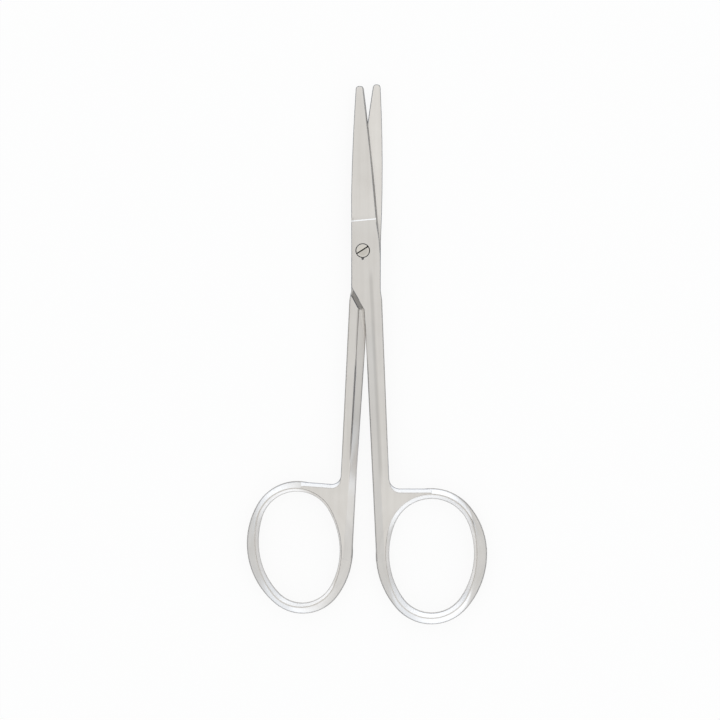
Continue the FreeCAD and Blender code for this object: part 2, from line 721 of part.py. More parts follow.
def cut_blade(body, half, own, top):
    """Thin the blade beyond the step and grind the cutting bevel."""
    place = new_sketch(body, f"{half}_blade_side", "YZ_Plane", (0, 0, 0), (0, 1, 0), size["blade_step_turn"])
    step_y = size["blade_step_y"]
    low = top - size["blade_step_depth"]
    tip_y = own["tip_y"] + reach
    slope = (size["blade_tip_thickness"] - low) / (own["tip_y"] - step_y)
    draw_outline(place, [
        (step_y, top),
        (step_y + size["blade_step_run"], low),
        (tip_y, low + slope * (tip_y - step_y)),
        (tip_y, top + reach),
        (step_y, top + reach),
    ])
    pocket(body, place, f"{half}_blade_face", (own["plate_own_x"] + reach) * 2, both_ways=True)

    start = (own["tip_edge_x"], own["tip_y"])
    end = (own["plate_own_x"], -own["plate_side_y"])

    def bulge(y):
        """How far the curved edge stands out from its chord."""
        y = as_length(y)
        return (start[1] - y) * (y - end[1]) / (own["edge_radius"] * 2)

    def section(y, inset):
        x = line_at(start, end, y) + bulge(y) - inset
        lean = size["edge_bevel_width"] / top
        height = top + reach / 2
        return (y, [
            (x, size["edge_land"]),
            (x + reach, size["edge_land"]),
            (x + reach, height),
            (x - lean * height, height),
        ])

    full = size["edge_bevel_full"]
    width = size["edge_bevel_width"]
    middle = (full + own["tip_y"]) / 2
    grind(body, f"{half}_cutting_bevel", [
        section(-size["edge_bevel_start"], -width * 2),
        section(full, Length(0)),
        section(middle, Length(0)),
        section(own["tip_y"] + reach, Length(0)),
    ])


def bevel_web(body, half, own, flat):
    """Bevel the web's upper edge on both faces, in line with the ring's outer facet.

    The bevel runs on past the brow, where the ring's own facet falls below it. Its path is tighter than the
    armpit, so that it fades in round the armpit.
    """
    width = size["web_bevel"]
    lean = size["web_bevel_depth"] / width
    tight_round = own["armpit_rounding"] - width
    slope = (own["brow_y"] - own["armpit_y"]) / (own["brow_x"] - own["armpit_x"])
    slant = root(slope * slope + 1)
    end_x = own["brow_x"] + size["web_bevel_run_out"]
    end_y = own["brow_y"] + slope * size["web_bevel_run_out"]
    turn_x = own["armpit_x"] + own["armpit_rounding"]
    turn_y = own["armpit_y"] + slope * own["armpit_rounding"]
    middle_x = turn_x - tight_round * slope / slant
    middle_y = turn_y + tight_round / slant
    start_x = middle_x - tight_round

    path = new_sketch(body, f"{half}_bevel_path", "XY_Plane")
    end, turn, middle, start = [
        FreeCAD.Vector(x.number, y.number, 0)
        for x, y in ((end_x, end_y), (turn_x, turn_y), (middle_x, middle_y), (start_x, middle_y))
    ]
    bend = FreeCAD.Vector(-1, -1, 0).normalize() * tight_round.number
    path.addGeometry(Part.LineSegment(end, turn), False)
    path.addGeometry(Part.Arc(start, middle + bend, turn), False)
    arc_turn = first_end(path, 1, turn)
    pin_point(path, 0, 1, end_x, end_y)
    pin_point(path, 0, 2, turn_x, turn_y)
    path.addConstraint(Sketcher.Constraint("Coincident", 0, 2, 1, arc_turn))
    pin_point(path, 1, 3 - arc_turn, start_x, middle_y)
    constraint = Sketcher.Constraint("Radius", 1, tight_round.number)
    path.setExpression(f"Constraints[{path.addConstraint(constraint)}]", tight_round.formula)

    for face, sign in (("upper", 1), ("lower", -1)):
        profile = new_sketch(body, f"{half}_{face}_bevel_profile", "YZ_Plane", (0, 0, end_x))
        rise = width / 3
        inner_y, outer_y = end_y - width - rise, end_y + rise
        high = flat + lean * rise
        low = flat - size["web_bevel_depth"] - lean * rise
        corners = [(inner_y, high), (outer_y, low), (outer_y, high)]
        if sign < 0:
            corners = [(y, -z) for y, z in corners]
        draw_outline(profile, corners)
        doc.recompute()
        before = body.Shape.Volume
        sweep = body.newObject("PartDesign::SubtractivePipe", f"{half}_{face}_web_bevel")
        sweep.Profile = profile
        sweep.Spine = (path, [])
        doc.recompute()
        if body.Shape.Volume >= before:
            raise RuntimeError(f"{sweep.Name} cuts nothing")


def cut_finger_hole(body, half, own, flat):
    """Bevel the hole on both sides and cut it through."""
    zero = Length(0)
    edge = size["ring_edge_half_height"]
    wall = edge - size["rim_height"]
    half_land = size["ridge_land"] / 2
    for face, sign in (("upper", 1), ("lower", -1)):
        heights = [height if sign > 0 else -height for height in (wall, edge, flat, flat + reach)]
        sketches = [
            hole_egg(body, half, own, f"hole_{face}_wall", heights[0], zero),
            hole_egg(body, half, own, f"hole_{face}_rim", heights[1], size["rim_width"]),
            ridge_egg(body, half, own, f"hole_{face}_ridge", heights[2], -half_land),
            ridge_egg(body, half, own, f"hole_{face}_beyond", heights[3], -half_land),
        ]
        doc.recompute()
        loft(body, sketches, f"{half}_hole_{face}_bevel", "Subtractive")
    through = hole_egg(body, half, own, "finger_hole", zero, zero)
    pocket(body, through, f"{half}_finger_hole_cut", (flat + reach) * 2, both_ways=True)


def circle_on(sketch, x, y, radius):
    circle = Part.Circle(
        FreeCAD.Vector(as_length(x).number, as_length(y).number, 0), FreeCAD.Vector(0, 0, 1), radius.number
    )
    shape = sketch.addGeometry(circle, False)
    pin_point(sketch, shape, 3, x, y)
    index = sketch.addConstraint(Sketcher.Constraint("Radius", shape, radius.number))
    sketch.setExpression(f"Constraints[{index}]", radius.formula)


def bore(body, name, z, radius, depth, up=False, x=0, y=0):
    """A round hole that starts at height z and runs down, or up."""
    sketch = new_sketch(body, f"{name}_circle", "XY_Plane", (0, 0, z))
    circle_on(sketch, x, y, radius)
    return pocket(body, sketch, name, depth, reverse=up)


def main():
    top = size["joint_thickness"]
    mating_z = top + size["mating_gap"] / 2
    front, front_own = make_half("front")
    back, back_own = make_half("back")

    head_radius = size["head_radius"] + size["head_clearance"]
    head_depth = size["head_height"] + size["head_recess"] + size["head_seat_gap"]
    bore(front, "front_head_recess", top, head_radius, head_depth)
    bore(front, "front_screw_bore", top, size["screw_radius"] + size["bore_clearance"], top * 2)
    cut_punch_mark(front, top, head_radius)
    bore(back, "back_tapped_hole", top, size["screw_radius"] - size["thread_bite"], top * 2)

    screw = make_screw(top)

    front.Placement = FreeCAD.Placement(
        FreeCAD.Vector(0, 0, (mating_z + size["mating_gap"] / 2).number), FreeCAD.Rotation()
    )
    front.setExpression(".Placement.Base.z", (mating_z + size["mating_gap"] / 2).formula)
    back.Placement = FreeCAD.Placement(
        FreeCAD.Vector(0, 0, top.number), FreeCAD.Rotation(FreeCAD.Vector(0, 1, 0), 180)
    )
    back.setExpression(".Placement.Base.z", top.formula)
    doc.recompute()
    return [front, back, screw]


def cut_punch_mark(body, top, head_radius):
    """A pointed punch mark on the outer face, at the rim of the screw head's recess."""
    profile = new_sketch(body, "punch_profile", "XZ_Plane", (0, 0, head_radius + size["punch_offset"]))
    zero = Length(0)
    draw_outline(profile, [(zero, top - size["punch_depth"]), (size["punch_radius"], top), (zero, top)])
    cone = body.newObject("PartDesign::Groove", "front_punch_mark")
    cone.Profile = profile
    cone.ReferenceAxis = (profile, ["V_Axis"])
    cone.Angle = 360
    doc.recompute()
    return cone


def make_screw(top):
    """The slotted pivot screw, standing on its end inside the back half."""
    body = new_body("pivot_screw")
    full_height = top * 2 + size["mating_gap"]
    head_top = full_height - size["head_recess"]
    head_seat = head_top - size["head_height"]
    tip = size["screw_tip_recess"]
    sketch = new_sketch(body, "screw_profile", "XZ_Plane")
    zero = Length(0)
    draw_outline(sketch, [
        (zero, tip),
        (size["screw_radius"], tip),
        (size["screw_radius"], head_seat),
        (size["head_radius"], head_seat),
        (size["head_radius"], head_top - size["head_bevel"]),
        (size["head_radius"] - size["head_bevel"], head_top),
        (zero, head_top),
    ])
    turned = body.newObject("PartDesign::Revolution", "screw_turned")
    turned.Profile = sketch
    turned.ReferenceAxis = (sketch, ["V_Axis"])
    turned.Angle = 360
    doc.recompute()
    slot = new_sketch(body, "slot_section", "XZ_Plane", (0, 0, 0), (0, 1, 0), size["slot_turn"] + 90)
    offset = size["slot_offset"]
    half_width = size["slot_width"] / 2
    half_floor = size["slot_floor"] / 2
    draw_outline(slot, [
        (offset - half_floor, head_top - size["slot_depth"]),
        (offset + half_floor, head_top - size["slot_depth"]),
        (offset + half_width, head_top),
        (offset - half_width, head_top),
    ])
    pocket(body, slot, "screw_slot", (size["head_radius"] + size["head_clearance"]) * 2, both_ways=True)
    return body


def check_and_write(pieces):
    doc.recompute()
    for item in doc.Objects:
        if "Invalid" in item.State or "Error" in item.State:
            raise RuntimeError(f"{item.Label} is not up to date: {item.State}")
    os.makedirs("parts", exist_ok=True)
    for piece in pieces:
        shape = piece.Shape
        if shape.isNull() or not shape.isValid() or len(shape.Solids) != 1:
            raise RuntimeError(f"{piece.Label} is not one valid solid")
        print(piece.Label, round(shape.Volume, 3), "cubic mm", shape.BoundBox)
        shape.exportStep(f"parts/{piece.Label}.step")


check_and_write(main())
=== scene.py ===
# %% [markdown]
# # Iris scissors, lying open on a white table
#
# This lesson dresses a small pair of surgical scissors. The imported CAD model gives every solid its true
# shape, so the work here is what metal needs most: a finish with a direction, soft edges, and a room
# that is worth reflecting. All lengths are in metres, in the frame of the CAD model: the pivot is at
# x = y = 0, the blades point to +Y and the table is at z = 0.

# %% Load the frame
import math

import bpy
import numpy as np
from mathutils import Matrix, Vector

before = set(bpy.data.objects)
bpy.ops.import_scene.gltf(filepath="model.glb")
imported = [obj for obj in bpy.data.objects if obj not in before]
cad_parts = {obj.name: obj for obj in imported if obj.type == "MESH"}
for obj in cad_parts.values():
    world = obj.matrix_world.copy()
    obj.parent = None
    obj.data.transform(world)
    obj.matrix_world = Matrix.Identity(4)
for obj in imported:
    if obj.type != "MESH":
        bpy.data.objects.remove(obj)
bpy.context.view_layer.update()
scene = bpy.context.scene
MM = 0.001

# %% [markdown]
# ## The camera
#
# The photograph looks straight down on the table. A long lens far away keeps the view flat, so that
# thin steel doesn't look taller near the picture's edge. Its height follows from the width that the
# picture covers: distance = width x focal length / sensor width.

# %% Camera
PICTURE_WIDTH = 153.0 * MM
PICTURE_CENTRE = Vector((-0.574 * MM, -23.205 * MM, 1.77 * MM))
FOCAL_LENGTH = 200.0


def add_camera():
    """A camera that looks straight down and sees PICTURE_WIDTH at the height of the scissors' middle."""
    data = bpy.data.cameras.new("table_camera")
    data.lens = FOCAL_LENGTH
    data.dof.use_dof = False
    distance = PICTURE_WIDTH * FOCAL_LENGTH / data.sensor_width
    data.clip_start, data.clip_end = 0.01, 10.0
    camera = bpy.data.objects.new("table_camera", data)
    camera.location = PICTURE_CENTRE + Vector((0, 0, distance))
    scene.collection.objects.link(camera)
    scene.camera = camera
    return distance


print("camera height:", round(add_camera(), 3), "m")

# %% [markdown]
# ## Helpers for shader trees
#
# Every material below is a tree of small nodes, and most of them do arithmetic. These helpers name the
# operations once, so that a finish reads like a formula: a product, a step from one value to another, a
# band with soft ends, a noise, a colour ramp.

# %% Nodes and links


def node(tree, kind, **settings):
    """A shader node with properties set by name."""
    made = tree.nodes.new(kind)
    for key, value in settings.items():
        setattr(made, key, value)
    return made


def plug(tree, source, target):
    """A link from one socket to another, or a plain value where the source is a number."""
    if isinstance(source, (int, float)):
        target.default_value = source
    else:
        tree.links.new(source, target)


def maths(tree, operation, *values):
    """The result socket of one Math node."""
    made = node(tree, "ShaderNodeMath", operation=operation)
    for index, value in enumerate(values):
        plug(tree, value, made.inputs[index])
    return made.outputs[0]


print("node helpers ready:", [f.__name__ for f in (node, plug, maths)])

# %% Formulas


def product(tree, first, *others):
    """first x second x third ..."""
    for other in others:
        first = maths(tree, "MULTIPLY", first, other)
    return first


def span(tree, value, low, high, to_low, to_high, smooth=False):
    """Map low..high to to_low..to_high, held at the ends."""
    made = node(tree, "ShaderNodeMapRange", clamp=True)
    if smooth:
        made.interpolation_type = "SMOOTHSTEP"
    for index, part in enumerate((value, low, high, to_low, to_high)):
        plug(tree, part, made.inputs[index])
    return made.outputs["Result"]


def between(tree, value, start, full, last, end):
    """0 before start, 1 from full to last, 0 after end (all rising)."""
    rise = span(tree, value, start, full, 0.0, 1.0, smooth=True)
    fall = span(tree, value, last, end, 1.0, 0.0, smooth=True)
    return product(tree, rise, fall)


def split(tree, vector):
    """The x, y and z of a vector socket."""
    parts = node(tree, "ShaderNodeSeparateXYZ")
    tree.links.new(vector, parts.inputs[0])
    return parts.outputs


print("formulas ready:", [f.__name__ for f in (product, span, between, split)])

# %% Textures and shaders


def noise(tree, vector, scale, detail):
    """A noise texture's factor."""
    made = node(tree, "ShaderNodeTexNoise")
    tree.links.new(vector, made.inputs["Vector"])
    made.inputs["Scale"].default_value = scale
    made.inputs["Detail"].default_value = detail
    return made.outputs["Fac"]


def ramp(tree, value, low, low_colour, high, high_colour):
    """A colour that runs from low_colour, at the value low, to high_colour, at the value high."""
    made = node(tree, "ShaderNodeValToRGB")
    stops = made.color_ramp.elements
    for stop, position, colour in zip(stops, (low, high), (low_colour, high_colour)):
        stop.position = position
        stop.color = (*colour, 1)
    tree.links.new(value, made.inputs["Fac"])
    return made.outputs["Color"]


def plain_shader(name, colour, roughness):
    """A material with one Principled shader, and that shader."""
    material = bpy.data.materials.new(name)
    material.use_nodes = True
    shader = material.node_tree.nodes["Principled BSDF"]
    shader.inputs["Base Color"].default_value = (*colour, 1)
    shader.inputs["Roughness"].default_value = roughness
    return material, shader


print("textures ready:", [f.__name__ for f in (noise, ramp, plain_shader)])

# %% [markdown]
# ## The room
#
# Polished steel has hardly a colour of its own: it shows the room. In the photograph the level faces are
# a light warm grey, the bevels that lean towards the tips or the rings are white, and those that lean
# straight to the left or right stay grey, with bluish lines along the edges. So the room is a bright, even
# tent, whitest overhead and a little bluer and darker at the horizon. The tent is the world: no picture
# of a room is needed, because a ramp over the height of the ray gives the same smooth change.

# %% World
HORIZON = (0.69, 0.72, 0.76)
ZENITH = (0.98, 0.98, 0.97)
ZENITH_FROM = 0.9


def make_tent():
    """World colour = a grey that rises from horizon to zenith, the same for every kind of ray."""
    world = bpy.data.worlds.new("light_tent")
    world.use_nodes = True
    scene.world = world
    tree = world.node_tree
    tree.nodes.clear()
    height = split(tree, node(tree, "ShaderNodeTexCoord").outputs["Generated"])[2]
    background = node(tree, "ShaderNodeBackground")
    tree.links.new(ramp(tree, height, 0.0, HORIZON, ZENITH_FROM, ZENITH), background.inputs["Color"])
    output = node(tree, "ShaderNodeOutputWorld")
    tree.links.new(background.outputs[0], output.inputs["Surface"])


make_tent()
print("tent from", HORIZON, "at the horizon to", ZENITH, "overhead")

# %% [markdown]
# ## Two soft boxes
#
# The white bevels need something a little brighter than the tent to show. A bevel that leans about 35
# degrees shows what stands about 20 degrees above the horizon, so two wide soft boxes stand low, one
# beyond the tips and one beyond the rings, a little to the right. They are faint, so that the steel
# between the highlights keeps its grey.

# %% Soft boxes
SOFT_BOX_DISTANCE = 0.6
SOFT_BOX_SIZE = (1.25, 0.24)
SOFT_BOX_RADIANCE = 0.38
SOFT_BOX_AIM = Vector((0, -25 * MM, 0))


def add_soft_box(name, bearing, elevation):
    """An area lamp at a compass bearing (clockwise from +Y, in degrees) and elevation.

    A flat lamp of power P and area A has the radiance P / (pi x A), so P = pi x A x SOFT_BOX_RADIANCE.
    """
    data = bpy.data.lights.new(name, "AREA")
    data.shape = "RECTANGLE"
    data.size, data.size_y = SOFT_BOX_SIZE
    data.energy = math.pi * data.size * data.size_y * SOFT_BOX_RADIANCE
    lamp = bpy.data.objects.new(name, data)
    b, e = math.radians(bearing), math.radians(elevation)
    away = Vector((math.sin(b) * math.cos(e), math.cos(b) * math.cos(e), math.sin(e)))
    lamp.location = SOFT_BOX_AIM + away * SOFT_BOX_DISTANCE
    lamp.rotation_mode = "QUATERNION"
    lamp.rotation_quaternion = (-away).to_track_quat("-Z", "Y")
    lamp.visible_camera = False
    scene.collection.objects.link(lamp)


add_soft_box("box_towards_tips", -6, 18)
add_soft_box("box_towards_rings", 149, 16)

# %% [markdown]
# ## The table
#
# A plain matt white sheet, as large as the lens can see from the side. It stays a real surface with a
# real colour, so the scissors drop their soft contact shadow on it. The photograph shows next to no
# shadow, so most of what camera, glossy and transmission rays see of the table is white of strength 1.

# %% Table
TABLE_HALF_WIDTH = 1.2
TABLE_DROP = 0.02 * MM
TABLE_COLOUR = (0.96, 0.96, 0.96)
TABLE_GLOW = 0.85


def make_table_white():
    """Matt white. For camera, glossy and transmission rays TABLE_GLOW of it is plain white light."""
    material, shader = plain_shader("table_white", TABLE_COLOUR, 1.0)
    shader.inputs["Specular IOR Level"].default_value = 0.0
    tree = material.node_tree
    ray = node(tree, "ShaderNodeLightPath")
    seen = maths(tree, "MAXIMUM", ray.outputs["Is Camera Ray"], ray.outputs["Is Glossy Ray"])
    seen = maths(tree, "MAXIMUM", seen, ray.outputs["Is Transmission Ray"])
    glow = node(tree, "ShaderNodeEmission")
    glow.inputs["Strength"].default_value = 1.0
    mix = node(tree, "ShaderNodeMixShader")
    tree.links.new(product(tree, seen, TABLE_GLOW), mix.inputs[0])
    tree.links.new(shader.outputs[0], mix.inputs[1])
    tree.links.new(glow.outputs[0], mix.inputs[2])
    tree.links.new(mix.outputs[0], tree.nodes["Material Output"].inputs["Surface"])
    return material


def add_table():
    """A square sheet just below z = 0."""
    w = TABLE_HALF_WIDTH
    corners = np.array([(-w, -w, 0), (w, -w, 0), (w, w, 0), (-w, w, 0)]) - (0, 0, TABLE_DROP)
    mesh = bpy.data.meshes.new("table")
    mesh.from_pydata(corners.tolist(), [], [(0, 1, 2, 3)])
    table = bpy.data.objects.new("table", mesh)
    scene.collection.objects.link(table)
    mesh.materials.append(make_table_white())


add_table()
print("table:", 2 * TABLE_HALF_WIDTH, "m wide")

# %% [markdown]
# ## The grain
#
# The halves are forged, ground and then polished by hand along their length. Such steel keeps very fine
# scratches that follow the tool: straight along blade and shank, and round each finger ring. The grain is
# a noise that is squeezed across the tool's way. Round a ring it reads the distance from the ring's
# middle, so the scratches become rings too. Above the rings the two noises are mixed, and not their
# coordinates, because mixed coordinates would bend the scratches into loops like those of wood.

# %% Grain
FRONT_RING_CENTRE = (14.65 * MM, -64.35 * MM)
BACK_RING_CENTRE = (-13.47 * MM, -62.83 * MM)
SCREW_CENTRE = (0.0, 0.0)
MEAN_RING_RADIUS = 12 * MM
RING_GRAIN_STARTS, RING_GRAIN_FULL = -52 * MM, -60 * MM
GRAIN_STRETCH, GRAIN_HEIGHT_STRETCH = 0.03, 0.3
GRAIN_SCALE, GRAIN_DETAIL = 9000.0, 3.0
STREAK_SCALE, STREAK_DETAIL = 1100.0, 2.0


def squared_distance(tree, dx, dy):
    """dx squared + dy squared."""
    return maths(tree, "ADD", product(tree, dx, dx), product(tree, dy, dy))


def squeezed(tree, across, along, z):
    """A place that changes fast across the tool's way and slowly along it."""
    joined = node(tree, "ShaderNodeCombineXYZ")
    tree.links.new(across, joined.inputs[0])
    tree.links.new(product(tree, along, GRAIN_STRETCH), joined.inputs[1])
    tree.links.new(product(tree, z, GRAIN_HEIGHT_STRETCH), joined.inputs[2])
    return joined.outputs[0]


print("grain:", GRAIN_SCALE, "and", STREAK_SCALE, "a metre across,", 1 / GRAIN_STRETCH, "times longer along")

# %% Straight and round grain


def grain_noises(tree, x, y, z, ring):
    """Fine grain and broad streaks, straight on blade and shank and circular round the ring.

    Straight: (x, stretch x y). Circular: (radius, stretch x angle x mean radius). Mixed by height y.
    """
    dx, dy = maths(tree, "SUBTRACT", x, ring[0]), maths(tree, "SUBTRACT", y, ring[1])
    radius = maths(tree, "SQRT", squared_distance(tree, dx, dy))
    round_way = product(tree, maths(tree, "ARCTAN2", dy, dx), MEAN_RING_RADIUS)
    round_ring = span(tree, y, RING_GRAIN_STARTS, RING_GRAIN_FULL, 0.0, 1.0, smooth=True)
    straight, circular = squeezed(tree, x, y, z), squeezed(tree, radius, round_way, z)
    mixed = []
    for scale, detail in ((GRAIN_SCALE, GRAIN_DETAIL), (STREAK_SCALE, STREAK_DETAIL)):
        first, second = noise(tree, straight, scale, detail), noise(tree, circular, scale, detail)
        change = product(tree, maths(tree, "SUBTRACT", second, first), round_ring)
        mixed.append(maths(tree, "ADD", first, change))
    return mixed


print("the grain turns round between y =", RING_GRAIN_STARTS, "and", RING_GRAIN_FULL, "m")

# %% [markdown]
# ## Where the steel differs
#
# The steep bevels of web and rings get a bright colour, which is a painted highlight. Sharp outer edges
# are a little bluish and darker, a painted reflection of the darker horizon, and ridges are a little
# brown, which at the foot of walls in creases is painted shade. A photograph could be painted on, but it
# would fit one view only. So each of these places is a mask, made from the piece's own coordinates and
# the direction of its faces. The masks turn with the piece when the scissors open.

# %% Places in plan


def line_x(tree, y, line):
    """The x on the straight line through two (x, y) points, at height y."""
    (low_x, low_y), (high_x, high_y) = line
    slope = (high_x - low_x) / (high_y - low_y)
    return maths(tree, "ADD", product(tree, y, slope), low_x - slope * low_y)


def right_of(tree, x, y, line):
    """Distance to the right of a line, measured along x."""
    return maths(tree, "SUBTRACT", x, line_x(tree, y, line))


def near_line(tree, x, y, line, core, reach):
    """1 within core of a line, fading to 0 at reach, measured along x."""
    aside = maths(tree, "ABSOLUTE", right_of(tree, x, y, line))
    return span(tree, aside, core, reach, 1.0, 0.0, smooth=True)


def distance_to(tree, x, y, point):
    """Distance in plan from a point."""
    dx, dy = maths(tree, "SUBTRACT", x, point[0]), maths(tree, "SUBTRACT", y, point[1])
    return maths(tree, "SQRT", squared_distance(tree, dx, dy))


def mm(*values):
    """Millimetres to metres."""
    return tuple(value * MM for value in values)


print("plan helpers ready, 1 mm =", mm(1)[0], "m")

# %% Directions of faces
# Which faces get the painted highlight, by their lean.
HIGHLIGHT_UPRIGHT = (0.47, 0.57, 0.80, 0.90)
HIGHLIGHT_LENGTHWAYS = (0.1, 0.4)
HIGHLIGHT_SIDEWAYS_SHARE = 0.33


def own_direction(tree, normal):
    """The three parts of a normal in the piece's own axes, so that they turn with the piece."""
    turned = node(tree, "ShaderNodeVectorTransform", vector_type="NORMAL")
    turned.convert_from, turned.convert_to = "WORLD", "OBJECT"
    tree.links.new(normal, turned.inputs[0])
    return split(tree, turned.outputs[0])


def face_direction(tree):
    """The surface's normal in the piece's own axes, without bump or rounding."""
    return own_direction(tree, node(tree, "ShaderNodeNewGeometry").outputs["Normal"])


def painted_highlight_mask(tree):
    """Where steep bevels get a painted highlight: 1 on faces that lean 37 to 55 degrees from level, 0 below
    26 and above 62 degrees.

    Faces that lean straight to the left or right get only a third of this painted highlight.
    """
    _, lengthways, upright = face_direction(tree)
    leaning = between(tree, maths(tree, "ABSOLUTE", upright), *HIGHLIGHT_UPRIGHT)
    share = span(
        tree, maths(tree, "ABSOLUTE", lengthways),
        *HIGHLIGHT_LENGTHWAYS, HIGHLIGHT_SIDEWAYS_SHARE, 1.0, smooth=True,
    )
    return product(tree, leaning, share)


# The bright bevel colour is a painted highlight.
print("buffed from", round(math.degrees(math.acos(HIGHLIGHT_UPRIGHT[3]))), "degrees of lean")

# %% Edges and ridges
EDGE_DROP = (0.04, 0.15)
RIDGE_RISE = (0.07, 0.2)
EDGE_SAMPLES = 8


def edge_masks(tree, reach):
    """Masks of outer edges, for a painted reflection of the darker horizon, and of ridges, for a brown tint
    that is also painted shade at the foot of walls in creases.

    The rounded normal lies flatter than the face's own at an outer edge, where the face drops away,
    and stands more upright at a ridge between two slopes and on a wall at the foot of a crease. Drop = own
    upright part - rounded one.
    """
    rounded = node(tree, "ShaderNodeBevel", samples=EDGE_SAMPLES)
    rounded.inputs["Radius"].default_value = reach
    soft = maths(tree, "ABSOLUTE", own_direction(tree, rounded.outputs[0])[2])
    own = maths(tree, "ABSOLUTE", face_direction(tree)[2])
    drop = maths(tree, "SUBTRACT", own, soft)
    outer = span(tree, drop, *EDGE_DROP, 0.0, 1.0)
    ridge = span(tree, drop, -RIDGE_RISE[0], -RIDGE_RISE[1], 0.0, 1.0)
    return outer, ridge


print("edge masks from a drop of", EDGE_DROP[0], "and ridges from a rise of", RIDGE_RISE[0])

# %% [markdown]
# ## Painted shade on the cutting bevel and round the screw
#
# Each cutting bevel is fine-ground. It is so narrow and steep that from above it is a brown line, darkest
# near the joint; that dark is painted shade, the shadow between the blades. The narrow gap round the
# screw's head gets painted shade, most at its lower right, where a light from the left doesn't reach.
# Both halves and the screw share these two masks.

# %% Shared masks
BEVEL_SIDEWAYS = (0.8, 0.9)
BEVEL_BEGINS = mm(-2.5, 2.0)
BEVEL_FADES, BEVEL_AT_TIP = mm(8, 22), 0.6
# How dark the painted shade on the cutting bevel is.
BEVEL_SHADE_DARKNESS = 0.75
LOWER_RIGHT, UPPER_LEFT_SHARE = mm(-1.2, 0.8), 0.1


def cutting_bevel_shade_mask(tree, y, side):
    """Painted shade on steep faces that look to one side (+1 is right) beyond the pivot, strongest near the
    joint.
    """
    steep = span(tree, product(tree, face_direction(tree)[0], side), *BEVEL_SIDEWAYS, 0.0, 1.0)
    beyond = span(tree, y, *BEVEL_BEGINS, 0.0, 1.0)
    fading = span(tree, y, *BEVEL_FADES, 1.0, BEVEL_AT_TIP)
    return product(tree, steep, beyond, fading, BEVEL_SHADE_DARKNESS)


def lower_right(tree, x, y):
    """How much painted shade falls round the screw: 1 at its lower right, UPPER_LEFT_SHARE at its upper
    left.
    """
    return span(tree, maths(tree, "SUBTRACT", x, y), *LOWER_RIGHT, UPPER_LEFT_SHARE, 1.0)


print("cutting bevels darken beyond y =", BEVEL_BEGINS[0], "m")

# %% [markdown]
# ## The upper half
#
# Three masks come from each piece. Dark: painted shade on the cutting bevel, in the punch mark and in
# the recess round the screw. Tone: a factor on the colour, lower along the shank's ridge, painted shade
# in place of a softly rolled ridge, lower where the polished step begins, painted shade that dims the
# step's highlight there, and higher on blade and web. Edges: where the edge lines may show, which is not
# round the screw, not on the step, and not in the crotch, where one half lies close over the other.

# %% Upper half's masks
PLATE_DEPTH = mm(3.47, 3.52)
PUNCH_CENTRE, PUNCH_EDGE = mm(0.0, -1.7), mm(0.2, 0.32)
RECESS_EDGE, SCREW_SURROUND = mm(1.6, 1.62), mm(1.9, 2.1)
FRONT_RIDGE, FRONT_RIDGE_WIDTH = (mm(3.7, -45), mm(1.75, -6)), mm(0.1, 0.6)
FRONT_RIDGE_BAND, FRONT_RIDGE_SHADE_TONE = mm(-52, -44, -7, -3), 0.84
FRONT_BLADE, FRONT_BLADE_TONE = mm(6.5, 7.5), 1.05
WEB, FRONT_WEB_TONE = mm(-46, -52), 1.05
STEP_BAND, STEP_START, STEP_START_SHADE_TONE = mm(5.9, 6.1, 6.9, 7.1), mm(-2.5, -1.7), 0.72
FRONT_CROTCH_BAND, FRONT_CROTCH_SIDE = mm(-26, -21, -11, -10), mm(1.6, 2.0)


def front_masks(tree, x, y, z):
    """Dark, tone and edges of the upper half."""
    from_screw = distance_to(tree, x, y, SCREW_CENTRE)
    # Painted shade in the punch mark and in the recess round the screw, most at its lower right.
    punch = span(tree, distance_to(tree, x, y, PUNCH_CENTRE), *PUNCH_EDGE, 1.0, 0.0)
    recess = product(tree, span(tree, from_screw, *RECESS_EDGE, 1.0, 0.0), lower_right(tree, x, y))
    sunk = span(tree, z, *PLATE_DEPTH, 1.0, 0.0)
    recess_shade = product(tree, maths(tree, "MAXIMUM", punch, recess), sunk)
    dark = maths(tree, "MAXIMUM", recess_shade, cutting_bevel_shade_mask(tree, y, 1))

    ridge = near_line(tree, x, y, FRONT_RIDGE, *FRONT_RIDGE_WIDTH)
    ridge = product(tree, ridge, between(tree, y, *FRONT_RIDGE_BAND))
    step = between(tree, y, *STEP_BAND)
    step_start = product(tree, step, span(tree, x, *STEP_START, 1.0, 0.0))
    # Painted shade along the shank's ridge and where the step's highlight begins.
    tone = product(
        tree, span(tree, ridge, 0.0, 1.0, 1.0, FRONT_RIDGE_SHADE_TONE),
        span(tree, y, *FRONT_BLADE, 1.0, FRONT_BLADE_TONE),
        span(tree, y, *WEB, 1.0, FRONT_WEB_TONE),
        span(tree, step_start, 0.0, 1.0, 1.0, STEP_START_SHADE_TONE),
    )

    side = span(tree, x, *FRONT_CROTCH_SIDE, 1.0, 0.0)
    crotch = product(tree, between(tree, y, *FRONT_CROTCH_BAND), side)
    lined = maths(tree, "SUBTRACT", 1.0, maths(tree, "MAXIMUM", crotch, step))
    return dark, tone, product(tree, span(tree, from_screw, *SCREW_SURROUND, 0.0, 1.0), lined)


print("upper half: ridge from", FRONT_RIDGE[0], "to", FRONT_RIDGE[1])

# %% [markdown]
# ## The lower half
#
# Dark: the flat of the joint that shows in the notch, ground dull and never polished, and darkened
# further with painted shade, as it lies deep under the upper half; the line where the raised strip of
# the shank ends, painted shade along that step; and the cutting bevel, painted shade. Tone: lower on
# the inner facet of the shank, higher on blade and web, higher where that facet gets steep, painted
# light, and higher deep in the crotch, where the halves show only each other, painted light that lifts
# the shade there. Edges: not in the crotch, and not where the web's bevel runs out at the ring's brow.

